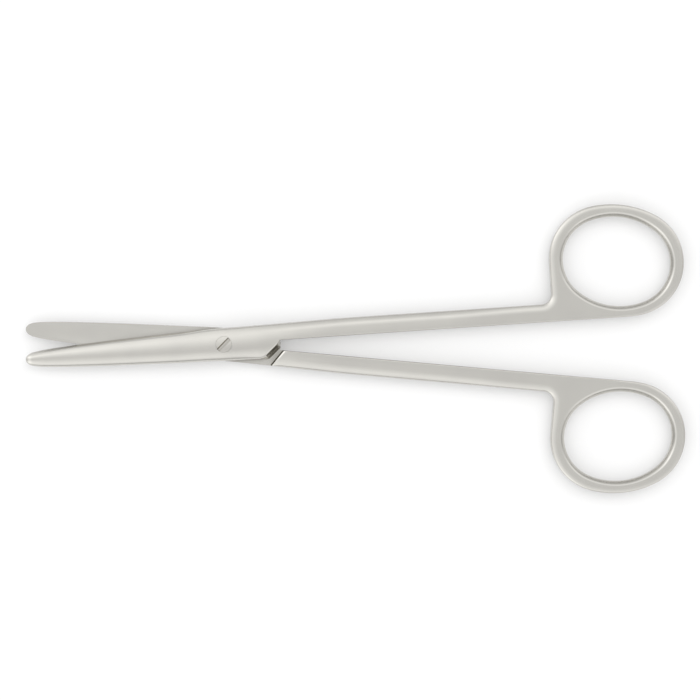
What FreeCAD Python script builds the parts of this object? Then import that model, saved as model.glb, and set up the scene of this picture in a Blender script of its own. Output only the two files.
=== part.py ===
import FreeCAD, Part
import math
import os
from FreeCAD import Vector

# Dissecting scissors with a lap joint: two forged halves and one slotted joint screw.
# A half is modelled closed: pivot at the origin, tip toward -X, finger ring toward +X,
# inner face on the plane Z = 0, cutting edge and shank on the +Y side, spine on the -Y side.
# All lengths are in millimetres and all angles in degrees.

# Blade, from the pivot to the round tip
blade_length = 42.4          # pivot to the centre of the round tip
tip_half_width = 1.38
tip_crest = 1.10             # inner face to the crest of the outer face at the tip
tip_crest_half_width = 0.45
tip_edge_height = 0.48       # height of the side walls at the tip
blade_fullness = 0.55        # power of the outline between tip and joint: under 1 is full near the tip
cutting_bevel = 0.30         # how far the flank behind the cutting edge leans in
bevel_start = 0.10           # share of the blade over which the flank starts to lean at the tip
bevel_end = 0.25             # share over which it is upright again at the joint
hollow_depth = 0.10          # hollow grind of the inner face at mid blade
hollow_radius = 30.0         # radius of the hollow grind across the blade
hollow_from_tip = 3.0
hollow_from_pivot = 5.5      # flat ride left between the pivot and the hollow

# Joint
joint_half_width = 3.63
joint_crest = 2.30           # inner face to the crest of the outer face at the pivot
joint_crest_half_width = 1.25
joint_crest_offset = 0.85    # the crest lies this far toward the spine at the pivot
joint_edge_height = 1.20
crest_tilt = 7.0             # slope of the crest arc where the falling part begins
ride_gap = 0.04              # play between the two inner faces
heel_length = 12.33          # pivot to the end of the heel lobe
heel_step_along = 0.53       # short steep stretch between the end of the heel and its slope
heel_step_across = 1.04
heel_angle = 41.3            # slope of the heel against the line of the blades
heel_corner_radius = 2.5
lap_clearance = 0.77         # end of the heel to the foot of the other half's shoulder wall, closed
shoulder_lean = 34.8         # lean of the shoulder wall toward the pivot
edge_break = 0.30            # bevel on the heel and on the shoulder
relief_width = 0.45          # groove milled along the foot of the shoulder wall
relief_depth = 0.35

# Shank
shank_start = 30.0           # pivot to where the shank's section becomes constant
shank_outer = 4.10           # closed line to the outer edge of the shank
meeting_gap = 0.15           # closed line to the inner edge of the shank
shank_thickness = 3.2
shank_round_width = 0.80     # rounded outer edge, seen from above
shank_round_height = 0.45
neck_radius = 2.2            # fillet between the shank and the side of the ring

# Finger ring: an opening and an outline, each an oval of four tangent arcs
ring_reach = 87.24           # pivot to the centre of the front ring, along the closed line
rear_ring_lead = 0.73        # the rear shank is drawn out a little longer than the front one
ring_tilt = -12.1            # slope of the ring's long axis against the closed line
opening_half_length = 11.86
opening_half_width = 9.77
opening_end_radius = 9.0
opening_shift = Vector(0.06, -0.17, 0)   # opening's centre against the ring's centre
opening_bevel_width = 0.75
opening_bevel_depth = 0.85
rim_at_ends = 2.95           # rim of the ring, seen from above
rim_at_sides = 2.53
run_out_radius = 60.0        # curve on which the rounded edge runs out below the ring
run_out_length = 12.0

# Joint screw
screw_head_diameter = 3.5
screw_head_height = 1.15
screw_neck_diameter = 2.6
screw_thread_diameter = 2.2
screw_slot_width = 0.85
screw_slot_depth = 0.60
screw_slot_angle = 46.0
running_clearance = 0.03     # radial, where the front half turns on the screw
seat_clearance = 0.02        # axial, under the head
thread_clearance = 0.01      # radial, where the screw is fast in the rear half

# Pose of the two halves
half_opening = 4.45          # each half turned away from the closed line
handle_set = 0.62            # both handles are set round this much against the line of the blades

# Places worked out from the sizes above, and helpers for cutting bodies
shank_half = shank_thickness / 2
ring_half_length = opening_half_length + rim_at_ends
ring_half_width = opening_half_width + rim_at_sides
ring_end_radius = opening_end_radius + (rim_at_ends + rim_at_sides) / 2
shoulder_reach = heel_length + lap_clearance
screw_seat = joint_crest - screw_head_height
blade_shares = (0.0, 0.06, 0.16, 0.30, 0.50, 0.75)
shank_shares = (0.0, 0.2, 0.4, 0.6, 0.8, 1.0)
overrun = 1.0                # cutting bodies pass the faces they cut by this much
clear_height = joint_crest * 2
clear_width = joint_half_width * 3
pivot = Vector(0, 0, 0)
up = Vector(0, 0, 1)
touching = 0.02              # edges closer to a path than this lie on it


def mix(start, end, share):
    """Value between start and end."""
    return start + (end - start) * share


def ease(share):
    """Share that leaves 0 and reaches 1 gently."""
    return share * share * (3 - 2 * share)


def polar(length, angle):
    """Vector of a length at an angle in the XY plane."""
    turn = math.radians(angle)
    return Vector(length * math.cos(turn), length * math.sin(turn), 0)


def arc_between(centre, start, end):
    """Shorter arc about a centre from start to end."""
    middle = (start - centre) + (end - centre)
    middle.normalize()
    return Part.Arc(start, centre + middle * (start - centre).Length, end).toShape()


def line_between(start, end):
    return Part.LineSegment(start, end).toShape()


def prism(edges, low, high):
    """Solid between two heights with a closed outline of edges."""
    face = Part.Face(Part.Wire(edges))
    face.translate(Vector(0, 0, low))
    return face.extrude(Vector(0, 0, high - low))


def polygon_edges(points):
    ends = points[1:] + points[:1]
    return [line_between(start, end) for start, end in zip(points, ends)]


def tangent_arc(start, end, start_slope):
    """Arc from start to end in a YZ section, leaving start with a given downward slope."""
    chord = end - start
    chord_slope = math.atan2(-chord.z, abs(chord.y))
    side = math.copysign(1, chord.y)
    rise = chord.Length / 2 * math.tan((chord_slope - start_slope) / 2)
    outward = Vector(0, side * math.sin(chord_slope), math.cos(chord_slope))
    return Part.Arc(start, (start + end) * 0.5 + outward * rise, end).toShape()


def crest_edge(x, half, offset, crest, tilt):
    """Crest of a section: an arc with a given slope at its ends, or a line where it is flat."""
    ends_height = crest - half * math.tan(tilt / 2)
    right = Vector(x, half - offset, ends_height)
    left = Vector(x, -half - offset, ends_height)
    if tilt == 0:
        return line_between(right, left), right, left
    return Part.Arc(right, Vector(x, -offset, crest), left).toShape(), right, left


def section(x, half_width, crest_half_width, crest_offset, crest, edge_height, tilt, bevel):
    """Section across a half: flat inner face, two side walls and an arch of three arcs."""
    slope = math.radians(tilt)
    arch, right_end, left_end = crest_edge(x, crest_half_width, crest_offset, crest, slope)
    right_top = Vector(x, half_width - bevel, edge_height)
    left_top = Vector(x, -half_width, edge_height)
    right_foot = Vector(x, half_width, 0)
    left_foot = Vector(x, -half_width, 0)
    return Part.Wire([
        line_between(right_foot, right_top),
        tangent_arc(right_end, right_top, slope),
        arch,
        tangent_arc(left_end, left_top, slope),
        line_between(left_top, left_foot),
        line_between(left_foot, right_foot),
    ])


def blade_section(share):
    """Section of the blade at a share of its length, from the tip's centre to the pivot."""
    bevel = cutting_bevel * min(1, share / bevel_start, (1 - share) / bevel_end)
    return section(
        -blade_length * (1 - share),
        mix(tip_half_width, joint_half_width, share ** blade_fullness),
        mix(tip_crest_half_width, joint_crest_half_width, share),
        joint_crest_offset * share,
        mix(tip_crest, joint_crest, share),
        mix(tip_edge_height, joint_edge_height, share),
        crest_tilt,
        bevel,
    )


def outer_edge(x):
    """Distance from the closed line to the edge between the pivot and the straight shank."""
    return mix(joint_half_width, shank_outer, ease(x / shank_start))


def shank_section(share):
    """Section between the pivot and the start of the straight shank."""
    eased = ease(share)
    return section(
        shank_start * share,
        outer_edge(shank_start * share),
        mix(joint_crest_half_width, shank_outer - shank_round_width, eased),
        joint_crest_offset * (1 - eased),
        mix(joint_crest, shank_half, eased),
        mix(joint_edge_height, shank_half - shank_round_height, eased),
        mix(crest_tilt, 0, eased),
        0,
    )


def round_tip():
    """Nose of the blade: the spine half of the tip's section turned about the tip's centre."""
    slope = math.radians(crest_tilt)
    crest_radius = tip_crest_half_width / math.sin(slope)
    centre = Vector(0, 0, tip_crest - crest_radius)
    crest_end = centre + Vector(0, -math.sin(slope), math.cos(slope)) * crest_radius
    crest_middle = centre + Vector(0, -math.sin(slope / 2), math.cos(slope / 2)) * crest_radius
    top = Vector(0, 0, tip_crest)
    wall_top = Vector(0, -tip_half_width, tip_edge_height)
    wall_foot = Vector(0, -tip_half_width, 0)
    half_face = Part.Face(Part.Wire([
        Part.Arc(top, crest_middle, crest_end).toShape(),
        tangent_arc(crest_end, wall_top, slope),
        line_between(wall_top, wall_foot),
        line_between(wall_foot, pivot),
        line_between(pivot, top),
    ]))
    nose = half_face.revolve(pivot, -up, 180)
    nose.translate(Vector(-blade_length, 0, 0))
    return nose


def oval_points(half_length, half_width, end_radius, centre, tilt):
    """Arc centres, radii and tangent points of an oval of four arcs."""
    end_offset = half_length - end_radius
    side_radius = (end_offset ** 2 + half_width ** 2 - end_radius ** 2) / (2 * (half_width - end_radius))
    side_offset = side_radius - half_width
    reach_share = side_radius / math.hypot(end_offset, side_offset)
    tangent_x = end_offset * reach_share
    tangent_y = side_offset * reach_share - side_offset

    def place(x, y):
        return centre + FreeCAD.Rotation(up, tilt).multVec(Vector(x, y, 0))

    return {
        "end_radius": end_radius,
        "side_radius": side_radius,
        "far_end": place(end_offset, 0),
        "near_end": place(-end_offset, 0),
        "above": place(0, side_offset),
        "below": place(0, -side_offset),
        "far_top": place(tangent_x, tangent_y),
        "far_foot": place(tangent_x, -tangent_y),
        "near_top": place(-tangent_x, tangent_y),
        "near_foot": place(-tangent_x, -tangent_y),
    }


def ring_centre(reach):
    """Centre of the ring, set so that its outer oval just reaches the meeting line."""
    level = oval_points(ring_half_length, ring_half_width, ring_end_radius, pivot, ring_tilt)
    lowest = level["above"].y - level["side_radius"]
    return Vector(reach, meeting_gap - lowest, 0)


def ring_outline(centre):
    """Edges of the shank and ring in order, and the path of the rounded outer edge."""
    ring = oval_points(ring_half_length, ring_half_width, ring_end_radius, centre, ring_tilt)
    side_x = ring["near_end"].x - ring["end_radius"]
    start = Vector(shank_start, shank_outer, 0)
    inner_start = Vector(shank_start, meeting_gap, 0)
    neck_start = Vector(side_x - neck_radius, shank_outer, 0)
    neck_end = Vector(side_x, shank_outer + neck_radius, 0)
    neck_centre = Vector(side_x - neck_radius, shank_outer + neck_radius, 0)
    side_top = Vector(side_x, ring["near_end"].y, 0)
    foot = Vector(ring["above"].x, meeting_gap, 0)
    rounded = [
        line_between(start, neck_start),
        arc_between(neck_centre, neck_start, neck_end),
        line_between(neck_end, side_top),
        arc_between(ring["near_end"], side_top, ring["near_top"]),
        arc_between(ring["below"], ring["near_top"], ring["far_top"]),
        arc_between(ring["far_end"], ring["far_top"], ring["far_foot"]),
        arc_between(ring["above"], ring["far_foot"], foot),
    ]
    closing = [line_between(foot, inner_start), line_between(inner_start, start)]
    below_foot = foot - Vector(0, run_out_radius, 0)
    run_out_turn = math.degrees(run_out_length / run_out_radius)
    run_out_end = below_foot + polar(run_out_radius, 90 + run_out_turn)
    return rounded + closing, rounded + [arc_between(below_foot, foot, run_out_end)]


def sweep(path_edges, profile):
    """Solid swept along a flat path with its profile kept upright."""
    pipe = Part.BRepOffsetAPI.MakePipeShell(Part.Wire(path_edges))
    pipe.setBiNormalMode(up)
    pipe.add(profile)
    pipe.build()
    pipe.makeSolid()
    return pipe.shape()


def edge_round_cutter(path_edges):
    """Body that rounds the upper outer edge of the shank and ring along a path."""
    inner_top = Vector(shank_start, shank_outer - shank_round_width, shank_half)
    outer_foot = Vector(shank_start, shank_outer, shank_half - shank_round_height)
    over = Vector(0, 0, shank_half)
    out = Vector(0, shank_round_width, 0)
    profile = Part.Wire([
        tangent_arc(inner_top, outer_foot, 0),
        line_between(outer_foot, outer_foot + out),
        line_between(outer_foot + out, outer_foot + out + over),
        line_between(outer_foot + out + over, inner_top + over),
        line_between(inner_top + over, inner_top),
    ])
    return sweep(path_edges, profile)


def oval_wire(centre, grow, height):
    """Ring opening as a wire at a height, grown by an offset."""
    oval = oval_points(
        opening_half_length + grow,
        opening_half_width + grow,
        opening_end_radius + grow,
        centre + up * height,
        ring_tilt,
    )
    return Part.Wire([
        arc_between(oval["far_end"], oval["far_foot"], oval["far_top"]),
        arc_between(oval["below"], oval["far_top"], oval["near_top"]),
        arc_between(oval["near_end"], oval["near_top"], oval["near_foot"]),
        arc_between(oval["above"], oval["near_foot"], oval["far_foot"]),
    ])


def ring_opening(centre):
    """Body of the finger opening with a bevel at both faces."""
    top = shank_half + overrun
    slope = opening_bevel_width / opening_bevel_depth
    through = Part.makeLoft([oval_wire(centre, 0, -top), oval_wire(centre, 0, top)], True, True)
    bevel = Part.makeLoft([
        oval_wire(centre, 0, shank_half - opening_bevel_depth),
        oval_wire(centre, opening_bevel_width + slope * overrun, top),
    ], True, True)
    return through.fuse([bevel, mirrored(bevel)])


def mirrored(shape):
    """Copy of a shape mirrored in the inner face's plane."""
    return shape.mirror(pivot, up)


def shank_and_ring(reach):
    """Straight shank, web and finger ring as one plate with its edges worked."""
    centre = ring_centre(reach)
    outline, path = ring_outline(centre)
    plate = prism(outline, -shank_half, shank_half)
    upper = edge_round_cutter(path)
    return plate.cut([ring_opening(centre + opening_shift), upper, mirrored(upper)])


def blade_and_joint(set_angle):
    """Blade, joint and start of the shank above the inner face, the shank set round."""
    sections = [blade_section(share) for share in blade_shares]
    sections += [set_round(shank_section(share), set_angle) for share in shank_shares]
    return Part.makeLoft(sections, True, False).fuse(round_tip())


def set_round(shape, angle):
    """Copy of a shape turned about the pivot."""
    return shape.rotated(pivot, up, angle)


def heel_path():
    """Plan edges of the heel lobe, from its tip over its slope to its round corner."""
    heel_tip = Vector(heel_length, meeting_gap, 0)
    knee = heel_tip - Vector(heel_step_along, heel_step_across, 0)
    spine = -outer_edge(knee.x - joint_half_width)
    corner_length = heel_corner_radius * math.tan(math.radians(heel_angle / 2))
    corner = Vector(knee.x - (knee.y - spine) / math.tan(math.radians(heel_angle)), spine, 0)
    round_start = corner - Vector(corner_length, 0, 0)
    round_end = corner + polar(corner_length, heel_angle)
    round_centre = round_start + Vector(0, heel_corner_radius, 0)
    path = [
        line_between(heel_tip, knee),
        line_between(knee, round_end),
        arc_between(round_centre, round_end, round_start),
    ]
    return path, heel_tip, round_start


def heel_cutter():
    """Body beside the heel lobe and below the inner edge of the shank."""
    path, heel_tip, round_start = heel_path()
    start = Vector(shank_start + overrun, meeting_gap, 0)
    outside = round_start - Vector(0, joint_half_width, 0)
    closing = [
        line_between(round_start, outside),
        line_between(outside, Vector(start.x, outside.y, 0)),
        line_between(Vector(start.x, outside.y, 0), start),
        line_between(start, heel_tip),
    ]
    return prism(path + closing, -clear_height, clear_height)


def shoulder_line():
    """Foot and outer end of the plan line of the shoulder wall."""
    foot = Vector(shoulder_reach, meeting_gap, 0)
    return foot, foot + polar(clear_width, 90 + shoulder_lean)


def lap_cutter():
    """Body milled away below the inner face, up to the shoulder wall."""
    foot, top = shoulder_line()
    past_tip = -blade_length - clear_width
    edges = polygon_edges([
        foot,
        top,
        Vector(past_tip, top.y, 0),
        Vector(past_tip, -top.y, 0),
        Vector(foot.x, -top.y, 0),
    ])
    return prism(edges, -clear_height, ride_gap / 2)


def relief_cutter():
    """Groove in the lap face along the foot of the shoulder wall."""
    foot, top = shoulder_line()
    back = foot + (foot - top).normalize() * overrun
    across = Vector(relief_width / math.cos(math.radians(shoulder_lean)), 0, 0)
    return prism(polygon_edges([back, top, top - across, back - across]), -clear_height, relief_depth)


def hollow_grind():
    """Barrel that hollows the inner face of the blade between the tip and the ride."""
    near = -hollow_from_pivot
    far = hollow_from_tip - blade_length
    face_level = ride_gap / 2
    axis_level = face_level + hollow_depth - hollow_radius
    middle = Vector((far + near) / 2, 0, face_level + hollow_depth)
    far_face = Vector(far, 0, face_level)
    near_face = Vector(near, 0, face_level)
    far_axis = Vector(far, 0, axis_level)
    near_axis = Vector(near, 0, axis_level)
    barrel = Part.Face(Part.Wire([
        Part.Arc(far_face, middle, near_face).toShape(),
        line_between(near_face, near_axis),
        line_between(near_axis, far_axis),
        line_between(far_axis, far_face),
    ]))
    return barrel.revolve(far_axis, near_axis - far_axis, 360)


def edges_over(shape, path, side):
    """Edges of the upper (1) or lower (-1) outer face that lie over a plan path."""
    def lies_over(edge):
        span = edge.LastParameter - edge.FirstParameter
        points = [edge.valueAt(edge.FirstParameter + span * share) for share in (0.1, 0.5, 0.9)]
        flat = [Part.Vertex(point.x, point.y, 0) for point in points]
        outer = all(point.z * side > tip_edge_height for point in points)
        return outer and all(path.distToShape(vertex)[0] < touching for vertex in flat)

    return [edge for edge in shape.Edges if lies_over(edge)]


def half_blank(set_angle, reach):
    """One half before its screw hole is drilled, with its handle set round by an angle."""
    body = blade_and_joint(set_angle)
    handle = set_round(shank_and_ring(reach), set_angle)
    forging = body.fuse([mirrored(body), handle])
    cutters = [set_round(cutter, set_angle) for cutter in (heel_cutter(), lap_cutter(), relief_cutter())]
    blank = forging.cut(cutters + [hollow_grind()]).Solids[0]
    heel = set_round(Part.Wire(heel_path()[0]), set_angle)
    shoulder = set_round(line_between(*shoulder_line()), set_angle)
    edges = edges_over(blank, heel, 1) + edges_over(blank, shoulder, -1)
    return blank.makeChamfer(edge_break, edges)


def bore(diameter, clearance, low, high):
    """Cylinder on the pivot for a screw part of a diameter with a radial clearance."""
    return Part.makeCylinder(diameter / 2 + clearance, high - low, Vector(0, 0, low))


def front_half():
    """Half that lies on top and turns on the neck of the screw."""
    blank = half_blank(-handle_set, ring_reach)
    head_hole = bore(screw_head_diameter, running_clearance, screw_seat, clear_height)
    neck_hole = bore(screw_neck_diameter, running_clearance, -joint_crest, screw_seat)
    return blank.cut([head_hole, neck_hole]).rotated(pivot, up, half_opening)


def rear_half():
    """Half that lies below, turned over, with the threaded hole for the screw."""
    blank = half_blank(handle_set, ring_reach + rear_ring_lead)
    hole = bore(screw_thread_diameter, thread_clearance, -clear_height, clear_height)
    return turned_over(blank.cut(hole))


def turned_over(shape):
    """Copy of a shape as it lies in the rear half's place."""
    return shape.rotated(pivot, Vector(1, 0, 0), 180).rotated(pivot, up, -half_opening)


def joint_screw():
    """Slotted screw with both ends ground flush with the outer faces of the joint."""
    head = bore(screw_head_diameter, 0, screw_seat + seat_clearance, clear_height)
    neck = bore(screw_neck_diameter, 0, 0, screw_seat + seat_clearance)
    thread = bore(screw_thread_diameter, 0, -clear_height, 0)
    front_skin = blade_and_joint(-handle_set).rotated(pivot, up, half_opening)
    rear_skin = turned_over(blade_and_joint(handle_set))
    upper = head.fuse(neck).common(front_skin)
    lower = thread.common(rear_skin)
    slot_floor = joint_crest - screw_slot_depth
    slot = Part.makeBox(
        screw_head_diameter * 2,
        screw_slot_width,
        screw_slot_depth + overrun,
        Vector(-screw_head_diameter, -screw_slot_width / 2, slot_floor),
    )
    return upper.fuse(lower).cut(slot.rotated(pivot, up, screw_slot_angle)).removeSplitter()


def build():
    """All pieces in the resting frame: origin under the middle of the whole, on its support."""
    pieces = {
        "front_half": front_half(),
        "rear_half": rear_half(),
        "joint_screw": joint_screw(),
    }
    box = Part.makeCompound(list(pieces.values())).optimalBoundingBox(True, False)
    origin = Vector(box.Center.x, box.Center.y, box.ZMin)
    print("pivot at", -origin.x, -origin.y, -origin.z)
    return {name: shape.translated(-origin) for name, shape in pieces.items()}


os.makedirs("parts", exist_ok=True)
for name, shape in build().items():
    solid = shape.Solids[0]
    print(name, len(shape.Solids), solid.isValid(), round(solid.Volume, 3))
    solid.exportStep("parts/" + name + ".step")
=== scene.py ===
import math

import bmesh
import bpy
from mathutils import Matrix, Vector


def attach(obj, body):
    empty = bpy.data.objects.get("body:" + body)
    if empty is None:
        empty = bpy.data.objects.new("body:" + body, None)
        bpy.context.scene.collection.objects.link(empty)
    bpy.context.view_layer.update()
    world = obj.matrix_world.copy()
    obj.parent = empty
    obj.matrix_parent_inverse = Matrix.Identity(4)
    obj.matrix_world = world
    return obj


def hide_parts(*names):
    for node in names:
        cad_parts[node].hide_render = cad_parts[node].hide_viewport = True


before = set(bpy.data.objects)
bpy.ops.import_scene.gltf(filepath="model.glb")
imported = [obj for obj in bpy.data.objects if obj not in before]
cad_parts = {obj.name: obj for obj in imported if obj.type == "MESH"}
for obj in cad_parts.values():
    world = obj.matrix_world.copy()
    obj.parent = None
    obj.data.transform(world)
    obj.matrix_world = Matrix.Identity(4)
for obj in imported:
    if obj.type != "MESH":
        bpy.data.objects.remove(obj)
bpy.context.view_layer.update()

mm = 0.001                   # the scene is in metres

# Form of a half, in millimetres, as it lies when the scissors are closed: pivot at the origin,
# tip toward -X, finger ring toward +X, inner face up to Z = 0, cutting edge toward +Y.
pivot = Vector((-28.82217, 0.95110, 2.30201))
half_opening = 4.45          # degrees that each half is turned by from the closed line
handle_set = 0.62            # degrees that the handle is set round by, against the blade
set_from = -10.6             # the blade is straight up to here, then set round up to the pivot

# Blade and joint
blade_length = 42.4
blade_fullness = 0.55        # power of the taper from the joint to the tip
tip_half_width, joint_half_width = 1.38, 3.63
tip_crest, joint_crest = 1.10, 2.30
tip_edge_drop, joint_edge_drop = 0.55, 0.85
crown_power = 2.1            # how flat the crest is against its flanks
crest_offset = 1.15          # the crest lies this far toward the spine at the joint
nose_centre, nose_length, nose_power = -42.2, 1.57, 2.5
edge_land = 0.15             # upright land left under the corner round
cutting_flank = 0.30         # the wall behind the cutting edge leans in by this much
inner_face = 0.02
hollow_depth, hollow_radius = 0.10, 30.0
hollow_from, hollow_to = -39.5, -5.5

# Heel and shoulder of the lap joint
heel_length, heel_step_along, heel_step_across = 12.33, 0.53, 1.04
heel_angle, heel_corner_radius = 41.3, 2.5
heel_draft = 0.95            # the heel's wall leans in by this much from foot to top
heel_stand = 0.85            # share of that by which the foot passes the lobe's outline
heel_edge, heel_tip_edge = (1.5, 0.40), (0.6, 0.20)      # flank width, corner round
shoulder_foot, shoulder_lean = 13.35, math.tan(math.radians(34.8))
shoulder_bevel, shoulder_bevel_height, shoulder_bevel_power = 0.38, 0.18, 1.3
relief_width, relief_depth = 0.35, 0.22
relief_bottom = 0.55         # share of the relief's width at which it is deepest
lean_fade_after, lean_fade = 1.0, 11.0                   # behind the shoulder the ribs turn square again

# Shank, neck and finger ring
shank_start, shank_outer, shank_inner = 30.0, 4.10, 0.15
shank_edge = (1.9, 0.42, 0.30)                           # worked edge: width, fall, corner round
plate_half = 1.6
edge_power = 2.2             # how gently the worked edge leaves the flat face
shank_crown, crown_end, crown_fade = 0.28, 50.0, 16.0
neck_radius = 2.2
ring_reach, rear_ring_lead, ring_tilt = 87.24, 0.73, -12.1
ring_size = (14.80, 12.29, 11.73)                        # half length, half width, end radius
opening_size = (11.86, 9.77, 9.0)
opening_shift = Vector((0.06, -0.17))
opening_bevel_width, opening_bevel_depth = 0.75, 0.85
opening_soft_top, opening_soft_foot = 0.8, 0.4

# Joint screw and its seat in the halves
head_radius, neck_hole_radius, thread_radius = 1.78, 1.33, 1.11
head_gap, fit_gap = 0.03, 0.01
screw_neck_radius = 1.30
screw_seat, screw_end = 1.15, 2.20
slot_width, slot_depth, slot_angle = 0.85, 0.50, 46.0
slot_slant, slot_draft = 0.25, 0.06                      # lean of the slot's two sides
bore_patch = 2.4             # the faces round the screw are rebuilt as rings within this distance

# Edges along a half: place, flank width, corner round, inset of the top from the foot
spine_edge = [
    (nose_centre, 0.9, 0.45, 0.0), (-30.0, 1.2, 0.55, 0.0), (3.0, 1.2, 0.60, 0.0),
    (7.5, 1.3, 0.45, 0.0), (heel_length, 0.6, 0.20, 0.0), (shank_start, 0.5, 0.28, 0.0),
]
cutting_edge = [
    (nose_centre, 0.9, 0.45, 0.0), (-38.0, 1.0, 0.40, cutting_flank), (-10.0, 1.2, 0.45, cutting_flank),
    (-2.4, 1.2, 0.50, 0.0), (13.0, 1.2, 0.45, 0.0), (shank_start, shank_edge[0], shank_edge[2], 0.0),
]

# Worked edge from the neck round the ring and back along the inner edge: width, fall, corner round
ring_edges = [
    shank_edge, (1.9, 0.42, 0.30), (1.6, 0.36, 0.30), (1.1, 0.24, 0.22), (1.0, 0.16, 0.18),
    (1.0, 0.18, 0.18), (0.9, 0.18, 0.18), (0.6, 0.08, 0.18), (0.3, 0.0, 0.15), (0.5, 0.0, 0.28),
]
ring_stations = (180, 96, 60, -12, -60, -90)             # directions on the oval where the edge changes
web_edge_length = 6.0        # the inner edge changes over this length before the ring

# How finely the pieces are divided
corner_steps, flank_steps, middle_steps = 4, 6, 8
nose_steps, blade_steps, patch_steps, joint_steps = 14, 32, 10, 4
heel_corner_steps, heel_slope_steps, heel_tip_steps = 7, 6, 3
bevel_steps, shank_steps, handle_steps = 5, 14, 10
neck_steps, side_steps, ring_step = 12, 6, 3             # the ring's step is in degrees
opening_steps, soft_top_steps, soft_foot_steps = 120, 6, 4
patch_shares = (0.35, 0.7, 1.0)
head_steps, chord_steps = 7, 14
outermost_chord = 0.99       # share of the screw head's radius at which its last chord lies
slope_run, nose_slope_run = 0.05, 0.1                    # slopes are taken over these distances
merge_distance, flat_tolerance = 0.0005, 0.0001
sharp_angle = math.radians(32)

# Finish of the steel and the painted shade in its corners, in millimetres where it is a size
cloud_size, grain_size, grain_depth, grain_strength = 6.0, 0.25, 0.01, 0.15
# Painted shade: the steel's colour darkens toward a shade colour where ambient occlusion finds corners
# within this reach
painted_shade_reach, painted_shade_full, painted_shade_end = 2.0, 0.20, 0.82
steel_roughness = 0.24

# Studio: paper, tent, soft box and camera
paper_glow, paper_roughness = 0.28, 0.9
floor_half = 3.0             # metres
tent_foot, tent_rise = 0.7, 0.35                         # level at the horizon, height of full level
softbox_power, softbox_size, softbox_distance = 2.6, 1.0, 1.2
softbox_azimuth, softbox_elevation = 50, 55
view_centre = Vector((-1.146, -0.281))                   # middle of the photo on the scissors
view_field, view_distance = 154.0, 600.0
sensor_width = 36.0

# Brightness of the tent over the left-to-right and the front-to-back part of a direction
side_panels = [
    (-1.0, 0.85), (-0.88, 1.10), (-0.78, 1.34), (-0.58, 1.40), (-0.40, 1.30), (-0.20, 1.08), (0.0, 1.01),
    (0.3, 1.02), (0.6, 1.04), (0.85, 0.82), (1.0, 0.76),
]
tent_strips = [
    (-1.0, 0.60), (-0.92, 0.75), (-0.72, 1.22), (-0.56, 1.12), (-0.41, 1.02), (-0.20, 0.88), (0.0, 0.78),
    (0.10, 0.84), (0.24, 1.05), (0.42, 1.34), (0.52, 1.18), (0.64, 0.88), (0.80, 0.78), (1.0, 0.70),
]


def mix(start, end, share):
    """Value at a share of the way from start to end."""
    return start + (end - start) * share


def ease(share):
    """Share from 0 to 1 that starts and ends gently."""
    share = min(max(share, 0.0), 1.0)
    return share * share * (3 - 2 * share)


def polar(radius, angle):
    """Plan vector of a length, at an angle in degrees from +X."""
    return Vector((radius * math.cos(math.radians(angle)), radius * math.sin(math.radians(angle))))


def spaced(start, end, count):
    """Values from start to end, both included, with a number of even steps between them."""
    return [mix(start, end, step / count) for step in range(count + 1)]


def outer_edge(x):
    """Distance from the closed line to the cutting edge or to the outer edge of the shank."""
    if x >= 0:
        return mix(joint_half_width, shank_outer, ease(x / shank_start))
    share = max(1 + x / blade_length, 0.0)
    return mix(tip_half_width, joint_half_width, share ** blade_fullness)


def crest_line(x):
    """Place of the crest across the half: on the middle at the tip, toward the spine at the joint."""
    if x >= 0:
        return -crest_offset * (1 - ease(x / shank_start))
    return -crest_offset * max(1 - x / nose_centre, 0.0)


def height(x, y):
    """Height of the outer face of the blade, the joint and the shank."""
    share = 1 + min(x, 0) / blade_length
    crest = mix(tip_crest, joint_crest, share)
    drop = mix(tip_edge_drop, joint_edge_drop, share)
    middle = crest_line(x)
    across = abs(y - middle) / (outer_edge(x) + math.copysign(middle, y - middle))
    arch = crest - drop * across ** crown_power
    if x <= 0:
        return arch
    width, edge_fall, _ = shank_edge
    from_flat = max(1 - (outer_edge(x) - y) / width, 0)
    crown = shank_crown * (1 - ease((x - crown_end) / crown_fade)) * (max(y, 0) / outer_edge(x)) ** 2
    plate = plate_half - edge_fall * from_flat ** edge_power - crown
    return mix(arch, plate, ease(x / shank_start))


def inner_height(point):
    """Height of the inner face, hollow ground between the tip and the ride."""
    half = (hollow_to - hollow_from) / 2
    along = (point.x - hollow_from - half) / half
    depth = hollow_depth * max(1 - along * along, 0)
    return inner_face + max(depth - point.y ** 2 / (2 * hollow_radius), 0)


def edge_columns(flank, corner, inset, foot, level_at):
    """Distances from an edge and heights there: a corner round, then the flank."""
    for _ in range(3):                       # narrows the corner round until the land fits below it
        start = inset + corner
        level = level_at(start)
        slope = math.atan((level_at(start + slope_run) - level) / slope_run)
        wall = math.pi / 2 - math.atan(inset / (level - foot))
        radius = corner / (math.sin(wall) - math.sin(slope))
        fall = radius * (math.cos(slope) - math.cos(wall))
        corner *= min((level - foot - edge_land) / fall, 1.0)
    columns = []
    for step in range(corner_steps):
        turn = mix(wall, slope, step / corner_steps)
        fall = radius * (math.cos(slope) - math.cos(turn))
        columns.append((start - radius * (math.sin(turn) - math.sin(slope)), level - fall))
    for distance in spaced(start, flank, flank_steps):
        columns.append((distance, level_at(distance)))
    return columns


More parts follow.
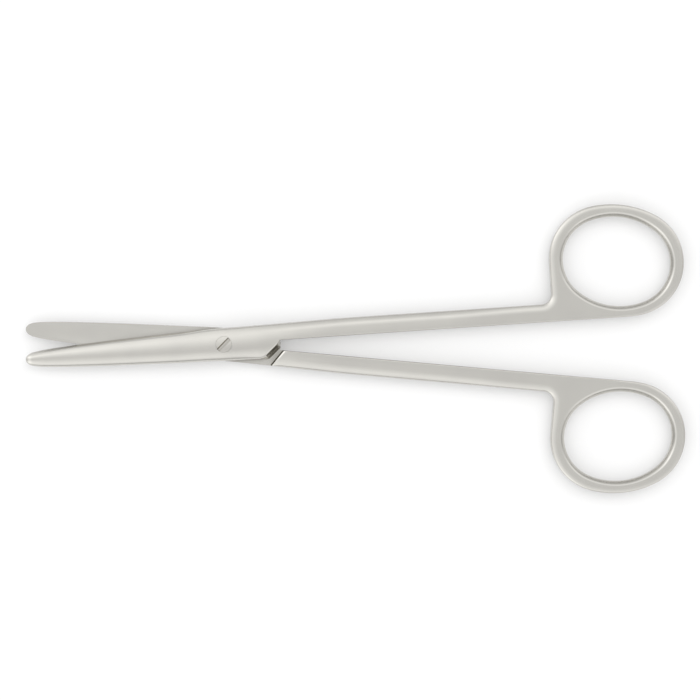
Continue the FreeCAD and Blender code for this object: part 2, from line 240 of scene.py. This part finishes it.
def half_rib(edge, centre, flank, corner, inset, foot):
    """Top points from an edge to the centre of a rib, and the plan points below them."""
    length = (centre - edge).length
    toward = (centre - edge) / length
    side = math.copysign(1, edge.y)

    def level_at(distance):
        if edge.x < nose_centre:
            return height(nose_centre, side * (1 - distance / length) * outer_edge(nose_centre))
        point = edge + toward * distance
        return height(point.x, point.y)

    columns = edge_columns(flank, corner, inset, foot, level_at)
    columns += [(distance, level_at(distance)) for distance in spaced(flank, length, middle_steps)[1:]]
    top = [(*(edge + toward * distance), level) for distance, level in columns]
    stretch = length / (length - inset)
    feet = [edge + toward * (distance - inset) * stretch for distance, _ in columns]
    return top, feet


def rib(left, right, centre, left_edge, right_edge, below):
    """Closed cross loop of a half: over the top from the left edge to the right one, and back below.

    The underside is the inner face, the top mirrored, or a height worked out from the top's.
    """
    foot = 0.0 if below == "as above" else inner_face
    left_top, left_feet = half_rib(left, centre, *left_edge, foot)
    right_top, right_feet = half_rib(right, centre, *right_edge, foot)
    top = left_top + right_top[-2::-1]
    feet = left_feet + right_feet[-2::-1]
    if below == "inner face":
        under = [(p.x, p.y, inner_height(p)) for p in feet]
    elif below == "as above":
        under = [(x, y, -z) for x, y, z in top]
    else:
        under = [(x, y, below(z)) for x, y, z in top]
    return top + under[::-1]


def at_station(keys, x):
    """Values at a place along X, blended between the rows of a table."""
    rows = [row for row in keys if row[0] <= x][-1:] + [row for row in keys if row[0] > x][:1]
    if len(rows) == 1:
        return rows[0][1:]
    share = ease((x - rows[0][0]) / (rows[1][0] - rows[0][0]))
    return tuple(mix(a, b, share) for a, b in zip(rows[0][1:], rows[1][1:]))


def nose_ribs():
    """Ribs that fan round the centre of the blade's nose."""
    centre = Vector((nose_centre, 0))
    slope = (outer_edge(nose_centre + nose_slope_run) - outer_edge(nose_centre)) / nose_slope_run
    ribs = []
    for angle in spaced(0, 90, nose_steps)[:-1]:
        along = math.cos(math.radians(angle)) ** (2 / nose_power)
        across = math.sin(math.radians(angle)) ** (2 / nose_power)
        x = nose_centre - nose_length * along
        y = (outer_edge(nose_centre) - slope * nose_length * along) * across
        scale = math.hypot(x - nose_centre, y) / outer_edge(nose_centre)
        edge = tuple(value * scale for value in at_station(cutting_edge, nose_centre))
        ribs.append(rib(Vector((x, -y)), Vector((x, y)), centre, edge, edge, "inner face"))
    return ribs


def heel_feet():
    """Foot of the heel's wall from the round corner to the lobe's tip, with its edge at each point."""
    tip = Vector((heel_length, shank_inner))
    knee = tip - Vector((heel_step_along, heel_step_across))
    spine = -outer_edge(knee.x - joint_half_width)
    reach = heel_corner_radius * math.tan(math.radians(heel_angle / 2))
    corner_x = knee.x - (knee.y - spine) / math.tan(math.radians(heel_angle))
    centre = Vector((corner_x - reach, spine + heel_corner_radius))
    turns = spaced(-90, heel_angle - 90, heel_corner_steps)
    corner = [centre + polar(heel_corner_radius, angle) for angle in turns]
    slope = [corner[-1].lerp(knee, share) for share in spaced(0, 1, heel_slope_steps)[1:]]
    outward = polar(1, heel_angle - 90)
    feet = []
    for index, point in enumerate(corner + slope):
        inset = heel_draft * ease(index / (len(corner) - 1))
        feet.append((point + outward * inset * heel_stand, (*heel_edge, inset)))
    knee_foot = feet[-1][0]
    for share in spaced(0, 1, heel_tip_steps)[1:]:
        flank, corner = (mix(a, b, share) for a, b in zip(heel_edge, heel_tip_edge))
        feet.append((knee_foot.lerp(tip, share), (flank, corner, heel_draft * (1 - share))))
    return feet


def lean_at(x):
    """How far the ribs lean, so that they run along the shoulder wall where they meet it."""
    rise = ease((x - bore_patch) / (heel_length - bore_patch))
    fall = ease((x - shoulder_foot - lean_fade_after) / lean_fade)
    return shoulder_lean * (rise - fall)


def body_rib(left, below, left_edge=None):
    """Rib that starts at a plan point on the spine or on the inner edge of the shank."""
    right_y = outer_edge(left.x)
    lean = lean_at(left.x)
    for _ in range(4):                       # settles where the leaning rib meets the outer edge
        right = Vector((left.x - lean * (right_y - left.y), right_y))
        right_y = outer_edge(right.x)
    centre = (left + right) / 2
    left_edge = left_edge or at_station(spine_edge, left.x)
    return rib(left, right, centre, left_edge, at_station(cutting_edge, right.x), below)


def blade_ribs():
    """Ribs from the nose's centre to the heel's tip, and which of them starts the screw's patch."""
    heel = heel_feet()
    spine = spaced(nose_centre, -bore_patch, blade_steps)[:-1]
    spine += spaced(-bore_patch, bore_patch, patch_steps)
    spine += spaced(bore_patch, heel[0][0].x, joint_steps)[1:-1]
    ribs = [body_rib(Vector((x, -outer_edge(x))), "inner face") for x in spine]
    ribs += [body_rib(foot, "inner face", edge) for foot, edge in heel]
    return ribs, spine.index(-bore_patch)


def shoulder_ribs():
    """Ribs over the relief groove and up the bevelled shoulder."""
    slant = math.hypot(1, shoulder_lean)
    foot = Vector((shoulder_foot, shank_inner))
    relief = foot - Vector((relief_width * slant, 0))
    bottom = relief.lerp(foot, relief_bottom)
    ribs = [body_rib(relief, "inner face"), body_rib(bottom, lambda z: inner_face + relief_depth)]
    ribs.append(body_rib(foot, lambda z: inner_face))
    for share in spaced(0, 1, bevel_steps)[:-1]:
        step = Vector((shoulder_bevel * slant * share, 0))
        fall = shoulder_bevel_height * (1 - share) ** shoulder_bevel_power
        ribs.append(body_rib(foot + step, lambda z, fall=fall: fall - z))
    return ribs


def shank_ribs(neck_x):
    """Ribs of the whole shank from the top of the shoulder's bevel to the neck."""
    start = shoulder_foot + shoulder_bevel * math.hypot(1, shoulder_lean)
    stations = spaced(start, shank_start, shank_steps) + spaced(shank_start, neck_x, handle_steps)[1:]
    return [body_rib(Vector((x, shank_inner)), "as above") for x in stations]


def oval_point(size, angle, grow=0.0):
    """Point of a four-arc oval, and its outward direction, at the angle of that direction."""
    half_length, half_width, end_radius = size
    along = half_length - end_radius
    side_radius = (along ** 2 + half_width ** 2 - end_radius ** 2) / (2 * (half_width - end_radius))
    meeting = math.atan2(side_radius - half_width, along)
    outward = polar(1, angle - ring_tilt)
    if abs(outward.x) > math.cos(meeting):
        centre, radius = Vector((math.copysign(along, outward.x), 0)), end_radius
    else:
        centre, radius = Vector((0, -math.copysign(side_radius - half_width, outward.y))), side_radius
    place = Matrix.Rotation(math.radians(ring_tilt), 2)
    return place @ (centre + outward * (radius + grow)), place @ outward


def ring_place(reach):
    """Centre of the ring, set so that its oval just reaches the inner edge, its side and the neck."""
    centre = Vector((reach, shank_inner - oval_point(ring_size, -90)[0].y))
    side_x = centre.x + oval_point(ring_size, 180)[0].x
    return centre, side_x, side_x - neck_radius


def outline_path(ring_centre, side_x, neck_x):
    """Plan points, outward directions and worked edges from the neck round the ring and back."""
    neck_centre = Vector((neck_x, shank_outer + neck_radius))
    turns = spaced(-90, 0, neck_steps)
    stretches = [[(neck_centre + polar(neck_radius, angle), -polar(1, angle)) for angle in turns]]
    low = Vector((side_x, shank_outer + neck_radius))
    high = ring_centre + oval_point(ring_size, 180)[0]
    stretches.append([(low.lerp(high, share), Vector((-1, 0))) for share in spaced(0, 1, side_steps)])
    for first, last in zip(ring_stations, ring_stations[1:]):
        arc = []
        for angle in spaced(first, last, round(abs(first - last) / ring_step)):
            point, outward = oval_point(ring_size, angle)
            arc.append((ring_centre + point, outward))
        stretches.append(arc)
    foot = ring_centre + oval_point(ring_size, -90)[0]
    middle, end = foot - Vector((web_edge_length, 0)), Vector((neck_x, shank_inner))
    toward_gap = Vector((0, -1))
    for start, stop in ((foot, middle), (middle, end)):
        stretches.append([(start.lerp(stop, share), toward_gap) for share in spaced(0, 1, side_steps)])
    path = []
    for stretch, before, after in zip(stretches, ring_edges, ring_edges[1:]):
        for step, (point, outward) in enumerate(stretch):
            share = ease(step / (len(stretch) - 1))
            path.append((point, outward, [mix(a, b, share) for a, b in zip(before, after)]))
    return path


def ring_strips(place):
    """Chains across the worked outer edge of the ring, upper face to lower face."""
    chains = []
    for point, outward, (width, fall, corner) in outline_path(*place):
        def level_at(distance):
            return plate_half - fall * max(1 - distance / width, 0) ** edge_power
        columns = edge_columns(width, corner, 0.0, 0.0, level_at)
        upper = [(*(point - outward * distance), level) for distance, level in reversed(columns)]
        chains.append(upper + [(x, y, -z) for x, y, z in reversed(upper)])
    return chains


def opening_profile():
    """Growth against the opening and height: soft edge, bevel, soft edge and wall."""
    slope = math.atan2(opening_bevel_depth, opening_bevel_width)
    top_reach = opening_soft_top * math.tan(slope / 2)
    foot_reach = opening_soft_foot * math.tan((math.pi / 2 - slope) / 2)
    wall_top = plate_half - opening_bevel_depth - foot_reach
    profile = []
    for turn in spaced(0, slope, soft_top_steps):
        grow = opening_bevel_width + top_reach - opening_soft_top * math.sin(turn)
        profile.append((grow, plate_half - opening_soft_top * (1 - math.cos(turn))))
    for turn in spaced(slope, math.pi / 2, soft_foot_steps):
        grow = opening_soft_foot * (1 - math.sin(turn))
        profile.append((grow, wall_top + opening_soft_foot * math.cos(turn)))
    return profile


def opening_strips(ring_centre):
    """Chains across the rim of the finger opening."""
    upper = opening_profile()
    profile = upper + [(grow, -level) for grow, level in reversed(upper)]
    chains = []
    for angle in spaced(0, 360, opening_steps)[:-1]:
        chain = []
        for grow, level in profile:
            point = ring_centre + opening_shift + oval_point(opening_size, angle, grow)[0]
            chain.append((point.x, point.y, level))
        chains.append(chain)
    return chains


def weave(mesh, chains, closed_across=False, closed_along=False, skip=None):
    """Faces between neighbouring chains of points, and the rows of new vertices."""
    rows = [[mesh.verts.new(point) for point in chain] for chain in chains]
    count = len(rows[0])
    pairs = list(zip(range(len(rows)), range(1, len(rows))))
    if closed_along:
        pairs.append((len(rows) - 1, 0))
    for first, second in pairs:
        for column in range(count if closed_across else count - 1):
            if skip and skip(first, column):
                continue
            after = (column + 1) % count
            mesh.faces.new((rows[first][column], rows[second][column],
                            rows[second][after], rows[first][after]))
    return rows


def join_rings(mesh, rings):
    """Faces between each closed row of vertices and the next."""
    for first, second in zip(rings, rings[1:]):
        for index in range(len(first)):
            after = (index + 1) % len(first)
            mesh.faces.new((first[index], second[index], second[after], first[after]))


def bore_rings(mesh, top, under, steps):
    """Faces from the edge of the patch round the screw over the top, through the bore and back."""
    plans = [Vector((vertex.co.x, vertex.co.y)) for vertex in top]

    def ring(radius, share=1.0, level=None):
        row = []
        for plan in plans:
            point = plan.lerp(plan.normalized() * radius, share)
            z = height(point.x, point.y) if level is None else level
            row.append(mesh.verts.new((point.x, point.y, z)))
        return row

    rim = steps[0][1]
    rings = [top] + [ring(rim, share) for share in patch_shares]
    rings += [ring(radius, level=level) for level, radius in steps] + [under]
    join_rings(mesh, rings)


def weave_body(mesh, neck_x, bore_steps):
    """Skin of the blade, the joint and the shank, with the bore for the screw."""
    nose = nose_ribs()
    blade, patch_start = blade_ribs()
    first = len(nose) + patch_start
    last = first + patch_steps
    low = corner_steps + flank_steps
    high = low + 2 * middle_steps
    across = high + low                      # last column of the top

    def in_patch(row, column):
        if column > across:
            column = 2 * across - column
        return first <= row < last and low <= column < high

    ribs = nose + blade + shoulder_ribs() + shank_ribs(neck_x)
    rows = weave(mesh, ribs, closed_across=True, skip=in_patch)

    def patch_edge(place_of):
        edge = [rows[first][place_of(column)] for column in range(low, high)]
        edge += [rows[row][place_of(high)] for row in range(first, last)]
        edge += [rows[last][place_of(column)] for column in range(high, low, -1)]
        edge += [rows[row][place_of(low)] for row in range(last, first, -1)]
        return edge

    top_edge = patch_edge(lambda column: column)
    under_edge = patch_edge(lambda column: 2 * across + 1 - column)
    bore_rings(mesh, top_edge, under_edge, bore_steps)


def close_flats(mesh):
    """Flat faces of the web and the ring, at the top and at the bottom of the plate."""
    flats = set()
    for level in (plate_half, -plate_half):
        rim = [edge for edge in mesh.edges if edge.is_boundary
               and all(abs(vertex.co.z - level) < flat_tolerance for vertex in edge.verts)]
        filled = bmesh.ops.triangle_fill(mesh, edges=rim, use_beauty=True)
        flats.update(part for part in filled["geom"] if isinstance(part, bmesh.types.BMFace))
    return flats


def smooth(mesh, flats=()):
    """Outward faces, shaded smoothly except at sharp edges and round the flat faces."""
    bmesh.ops.recalc_face_normals(mesh, faces=mesh.faces)
    for face in mesh.faces:
        face.smooth = True
    for edge in mesh.edges:
        borders_flat = sum(face in flats for face in edge.link_faces) == 1
        edge.smooth = not borders_flat and edge.calc_face_angle() < sharp_angle


def half_mesh(reach, set_angle, bore_steps):
    """Whole half as one closed skin in its own closed frame, with its handle set round."""
    mesh = bmesh.new()
    place = ring_place(reach)
    ring_centre, _, neck_x = place
    weave_body(mesh, neck_x, bore_steps)
    weave(mesh, ring_strips(place))
    weave(mesh, opening_strips(ring_centre), closed_along=True)
    bmesh.ops.remove_doubles(mesh, verts=mesh.verts, dist=merge_distance)
    smooth(mesh, close_flats(mesh))
    for vertex in mesh.verts:
        share = ease((vertex.co.x - set_from) / -set_from)
        vertex.co = Matrix.Rotation(math.radians(set_angle) * share, 3, "Z") @ vertex.co
    return mesh


def head_chains(radius):
    """Chains along the slot over the head's upper face, from one side of the head to the other."""
    half_slot = slot_width / 2
    edge = radius * outermost_chord
    columns = [(across, 0.0) for across in spaced(-edge, -half_slot, head_steps)]
    columns += [(-half_slot + slot_draft, slot_depth), (half_slot - slot_slant, slot_depth)]
    columns += [(across, 0.0) for across in spaced(half_slot, edge, head_steps)]
    chains = []
    for across, depth in columns:
        chord = math.sqrt(radius ** 2 - across ** 2)
        chain = []
        for along in spaced(-chord, chord, chord_steps):
            plan = Matrix.Rotation(math.radians(slot_angle), 2) @ Vector((along, across))
            on_front = Matrix.Rotation(math.radians(-half_opening), 2) @ plan
            top = joint_crest if depth else height(on_front.x, on_front.y)
            chain.append((plan.x, plan.y, top - depth - fit_gap))
        chains.append(chain)
    return chains


def screw_mesh():
    """Joint screw: head ground flush with the joint, its slot with one slanting side, neck and thread."""
    mesh = bmesh.new()
    head, neck, thread = head_radius - head_gap, screw_neck_radius, thread_radius - fit_gap
    rows = weave(mesh, head_chains(head))
    near, far = [row[0] for row in rows], [row[-1] for row in rows[-2::-1]]
    rim = near + rows[-1][1:] + far + rows[0][-2:0:-1]
    seat = screw_seat + fit_gap
    rings = [rim]
    for level, radius in ((seat, head), (seat, neck), (0.0, neck), (0.0, thread), (-screw_end, thread)):
        ring = []
        for vertex in rim:
            plan = Vector((vertex.co.x, vertex.co.y)).normalized() * radius
            ring.append(mesh.verts.new((plan.x, plan.y, level)))
        rings.append(ring)
    join_rings(mesh, rings)
    mesh.faces.new(rings[-1])
    smooth(mesh)
    return mesh


def place_piece(name, node, body, slot, mesh, swing=0.0, turn_over=False):
    """Object of a piece: out of its closed frame, into the open scissors, in metres."""
    move = Matrix.Translation(pivot) @ Matrix.Rotation(math.radians(swing), 4, "Z")
    if turn_over:
        move = move @ Matrix.Rotation(math.pi, 4, "X")
    mesh.transform(Matrix.Scale(mm, 4) @ move)
    data = bpy.data.meshes.new(name)
    mesh.to_mesh(data)
    mesh.free()
    data.materials.append(steels[slot])
    piece = bpy.data.objects.new(name, data)
    bpy.context.scene.collection.objects.link(piece)
    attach(piece, body)
    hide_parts(node)


def linear(hex_colour):
    """sRGB hex colour as linear red, green, blue and alpha."""
    shares = [int(hex_colour[i:i + 2], 16) / 255 for i in (1, 3, 5)]
    return [s / 12.92 if s <= 0.04045 else ((s + 0.055) / 1.055) ** 2.4 for s in shares] + [1.0]


def add_node(tree, kind, settings=None, inputs=None):
    """New node with its settings, and its inputs given as values or as sockets to link."""
    node = tree.nodes.new(kind)
    for name, value in (settings or {}).items():
        setattr(node, name, value)
    for name, value in (inputs or {}).items():
        if isinstance(value, bpy.types.NodeSocket):
            tree.links.new(value, node.inputs[name])
        else:
            node.inputs[name].default_value = value
    return node


def new_material(name):
    """Empty node material, its tree and its output node."""
    material = bpy.data.materials.new(name)
    material.use_nodes = True
    material.node_tree.nodes.clear()
    return material, material.node_tree, add_node(material.node_tree, "ShaderNodeOutputMaterial")


def satin_steel(name, colour, painted_shade_colour):
    """Stainless steel, bead-blasted and brushed: an even silky grey, with painted shade that darkens it in
    tight corners.

    Brushing leaves pale clouds some millimetres long. The blasting's pits are a few hundredths of a
    millimetre wide on real steel, and are drawn a quarter of a millimetre wide so that they show.
    """
    material, tree, output = new_material(name)
    place = add_node(tree, "ShaderNodeTexCoord").outputs["Object"]
    clouds = add_node(tree, "ShaderNodeTexNoise", inputs={
        "Vector": place, "Scale": 1 / (cloud_size * mm), "Detail": 3.0}).outputs["Fac"]
    tone = add_node(tree, "ShaderNodeMix", {"data_type": "RGBA"}, {
        0: clouds, 6: linear(colour), 7: linear("#D2D0CA")}).outputs[2]
    # Painted shade: ambient occlusion darkens the colour toward the shade colour in corners, creases and
    # the gaps between the halves
    corner = add_node(tree, "ShaderNodeAmbientOcclusion", {"samples": 8}, {
        "Distance": painted_shade_reach * mm}).outputs["AO"]
    unshaded = add_node(tree, "ShaderNodeMapRange", inputs={
        "Value": corner, "From Min": painted_shade_full, "From Max": painted_shade_end}).outputs["Result"]
    shade = add_node(tree, "ShaderNodeMix", {"data_type": "RGBA"}, {
        0: unshaded, 6: linear(painted_shade_colour), 7: tone}).outputs[2]
    grain = add_node(tree, "ShaderNodeTexNoise", inputs={
        "Vector": place, "Scale": 1 / (grain_size * mm), "Detail": 2.0}).outputs["Fac"]
    bump = add_node(tree, "ShaderNodeBump", inputs={
        "Height": grain, "Strength": grain_strength, "Distance": grain_depth * mm}).outputs["Normal"]
    steel = add_node(tree, "ShaderNodeBsdfPrincipled", inputs={
        "Base Color": shade, "Metallic": 1.0, "Roughness": steel_roughness, "Normal": bump})
    tree.links.new(steel.outputs[0], output.inputs["Surface"])
    return material


def paper_floor():
    """White background paper: matt, so that it takes a soft shadow, and seen as a plain white."""
    material, tree, output = new_material("white_paper")
    rays = add_node(tree, "ShaderNodeLightPath").outputs
    seen = rays["Is Camera Ray"]
    for ray in (rays["Is Glossy Ray"], rays["Is Transmission Ray"]):
        seen = add_node(tree, "ShaderNodeMath", {"operation": "MAXIMUM"}, {0: seen, 1: ray}).outputs[0]
    glow = add_node(tree, "ShaderNodeMath", {"operation": "MULTIPLY"}, {0: seen, 1: paper_glow}).outputs[0]
    paper = add_node(tree, "ShaderNodeBsdfPrincipled", inputs={
        "Base Color": linear("#D4D4D4"), "Roughness": paper_roughness, "Specular IOR Level": 0.0,
        "Emission Color": linear("#FFFFFF"), "Emission Strength": glow})
    tree.links.new(paper.outputs[0], output.inputs["Surface"])
    return material


def level_ramp(tree, part, levels):
    """Brightness over one part of a direction, given as pairs of place and level."""
    share = add_node(tree, "ShaderNodeMapRange", inputs={
        "Value": part, "From Min": -1.0, "From Max": 1.0}).outputs["Result"]
    ramp = add_node(tree, "ShaderNodeValToRGB", inputs={0: share})
    elements = ramp.color_ramp.elements
    while len(elements) < len(levels):
        elements.new(0.5)
    for element, (place, level) in zip(elements, levels):
        element.position = (place + 1) / 2
        element.color = (level, level, level, 1)
    return ramp.outputs["Color"]


def light_tent():
    """Tent of long strips beside the scissors: dim overhead, brighter strips behind and in front."""
    world = bpy.data.worlds.new("light_tent")
    bpy.context.scene.world = world
    world.use_nodes = True
    tree = world.node_tree
    tree.nodes.clear()
    direction = add_node(tree, "ShaderNodeTexCoord").outputs["Generated"]
    axes = add_node(tree, "ShaderNodeSeparateXYZ", inputs={0: direction}).outputs
    level = add_node(tree, "ShaderNodeMapRange", inputs={
        "Value": axes["Z"], "From Max": tent_rise, "To Min": tent_foot}).outputs["Result"]
    for axis, levels in (("X", side_panels), ("Y", tent_strips)):
        part = level_ramp(tree, axes[axis], levels)
        level = add_node(tree, "ShaderNodeMath", {"operation": "MULTIPLY"}, {0: part, 1: level}).outputs[0]
    light = add_node(tree, "ShaderNodeBackground", inputs={"Color": linear("#FFFFFF"), "Strength": level})
    add_node(tree, "ShaderNodeOutputWorld", inputs={"Surface": light.outputs[0]})


def hang_softbox():
    """Soft box at the upper right: it gives the shadows their side."""
    data = bpy.data.lights.new("softbox", "AREA")
    data.size = softbox_size
    data.energy = softbox_power
    level = polar(1, softbox_elevation)
    direction = Vector((*polar(level.x, softbox_azimuth), level.y))
    softbox = bpy.data.objects.new("softbox", data)
    softbox.location = direction * softbox_distance
    softbox.rotation_euler = direction.to_track_quat("Z", "Y").to_euler()
    softbox.visible_glossy = False
    bpy.context.scene.collection.objects.link(softbox)


def lay_floor():
    """Sheet of paper that the scissors lie on."""
    data = bpy.data.meshes.new("floor")
    corners = [(floor_half * x, floor_half * y, 0) for x, y in ((-1, -1), (1, -1), (1, 1), (-1, 1))]
    data.from_pydata(corners, [], [(0, 1, 2, 3)])
    data.materials.append(paper_floor())
    floor = bpy.data.objects.new("floor", data)
    bpy.context.scene.collection.objects.link(floor)


def set_camera():
    """Camera straight above the scissors, with the tips to the left."""
    data = bpy.data.cameras.new("camera")
    data.sensor_width = sensor_width
    data.lens = sensor_width * view_distance / view_field
    camera = bpy.data.objects.new("camera", data)
    camera.location = Vector((*view_centre, pivot.z + view_distance)) * mm
    bpy.context.scene.collection.objects.link(camera)
    bpy.context.scene.camera = camera


# Steel of each material slot: the halves take darker painted shade in their corners than the ground screw
steels = {
    "satin_stainless": satin_steel("satin_stainless_steel", "#C9C7C2", "#736F66"),
    "screw_stainless": satin_steel("ground_screw_steel", "#C6C4BE", "#B6B2AA"),
}
# Heights and radii down each bore, from the rim at the joint's outer face
front_bore = [(screw_seat, head_radius), (screw_seat, neck_hole_radius), (inner_face, neck_hole_radius)]
rear_bore = [(inner_face, thread_radius)]
front = half_mesh(ring_reach, -handle_set, front_bore)
rear = half_mesh(ring_reach + rear_ring_lead, handle_set, rear_bore)
place_piece("front_forging", "front_half", "front", "satin_stainless", front, half_opening)
place_piece("rear_forging", "rear_half", "rear", "satin_stainless", rear, -half_opening, turn_over=True)
place_piece("slotted_screw", "joint_screw", "rear", "screw_stainless", screw_mesh())

light_tent()
hang_softbox()
lay_floor()
set_camera()
bpy.context.scene.view_settings.view_transform = "Standard"
